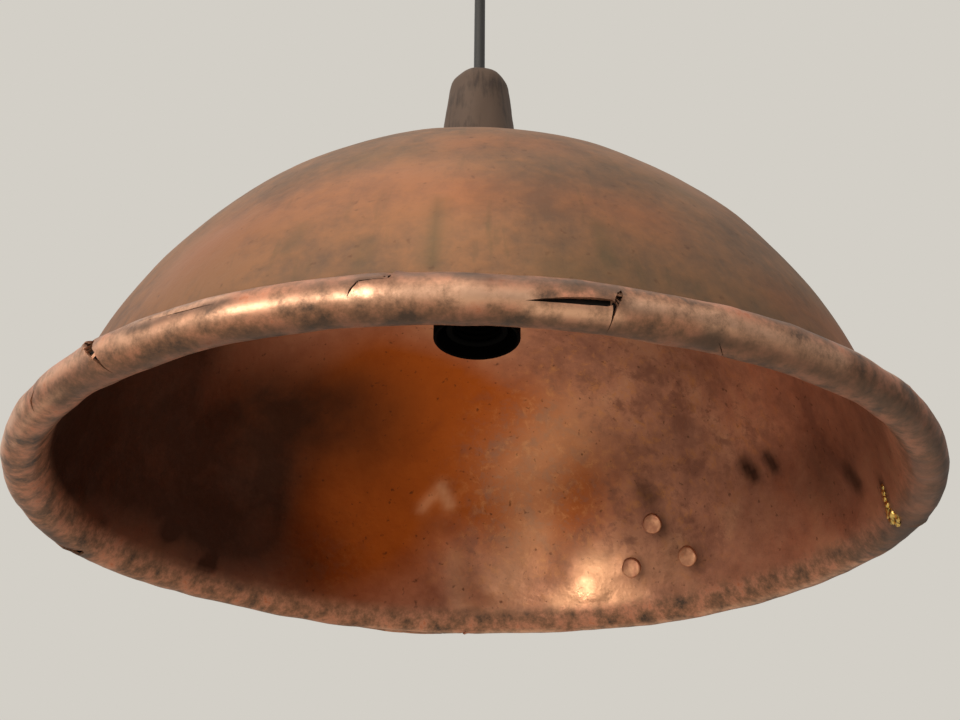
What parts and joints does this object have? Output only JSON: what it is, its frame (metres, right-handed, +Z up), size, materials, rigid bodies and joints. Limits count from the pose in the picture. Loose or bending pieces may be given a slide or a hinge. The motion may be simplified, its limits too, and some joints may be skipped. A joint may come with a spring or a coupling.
{
  "type": "pendant lamp",
  "caption": "Ceiling pendant lamp: an upturned beaten copper kettle bowl with a rolled, cracked rim, a tall cap and a black lampholder, hung on a black cord from a ceiling cup.",
  "frame": {"origin": "centre of the mounting bar's top face, in the ceiling plane", "axes": "+Z up, out of the ceiling face; the lamp hangs towards -Z; -Y is the front; +X is the right-hand side, where the rim's brazed repair is"},
  "size_m": [0.4257, 0.4258, 0.4679],
  "materials": {
    "beaten_copper": "aged and polished, patchy patina",
    "rivet_copper": "darkened",
    "cap_copper": "brown oxidised, matt",
    "braze_brass": "rough cast",
    "iron_rod": "dark iron",
    "zinc_steel": "zinc plated",
    "screw_steel": "bright",
    "terminal_brass": "plain",
    "holder_black": "moulded, matt black",
    "cup_black": "moulded, satin black",
    "cord_black": "black sheath",
    "boot_rubber": "soft black",
    "block_plastic": "natural white",
    "core_brown": "brown insulation",
    "core_blue": "blue insulation"
  },
  "bodies": {
    "ceiling_rose": {"mounting_bar": "zinc_steel", "canopy_cup": "cup_black", "canopy_screws": "screw_steel", "cord_gland": "cup_black", "gland_nut": "zinc_steel", "gland_screw": "screw_steel", "cord_in_cup": "cord_black", "terminal_block": "block_plastic", "terminal_tubes": "terminal_brass", "terminal_screws": "screw_steel", "cup_live_core": "core_brown", "cup_neutral_core": "core_blue"},
    "strain_relief": {"strain_relief_boot": "boot_rubber", "cord_in_boot": "cord_black"},
    "cord": {"suspension_cord": "cord_black"},
    "lamp_head": {"copper_bowl": "beaten_copper", "rim_rod": "iron_rod", "ear_rivets": "rivet_copper", "braze_repair": "braze_brass", "hollow_tube": "zinc_steel", "crown_washers": "zinc_steel", "tube_nuts": "zinc_steel", "holder_dome": "holder_black", "holder_skirt": "holder_black", "thread_sleeve": "holder_black", "contact_block": "holder_black", "centre_contact": "terminal_brass", "side_contact": "terminal_brass", "holder_terminals": "screw_steel", "live_core": "core_brown", "neutral_core": "core_blue", "cord_grip": "holder_black", "grip_screw": "screw_steel"},
    "cap": {"top_cap": "cap_copper", "cap_bush": "boot_rubber"}
  },
  "joints": [
    {"name": "swing_fore_aft", "type": "hinge", "parent": "ceiling_rose", "child": "strain_relief", "pos_m": [0, 0, -0.06305], "axis": [1, 0, 0], "range_deg": [-25, 25]},
    {"name": "swing_sideways", "type": "hinge", "parent": "strain_relief", "child": "cord", "pos_m": [0, 0, -0.09138], "axis": [0, 1, 0], "range_deg": [-25, 25]},
    {"name": "turn_on_cord", "type": "hinge", "parent": "cord", "child": "lamp_head", "pos_m": [0, 0, -0.265], "axis": [0, 0, 1], "range_deg": [-180, 180]},
    {"name": "cap_lift", "type": "slide", "parent": "lamp_head", "child": "cap", "axis": [0, 0, 1], "range_m": [0, 0.06]}
  ]
}
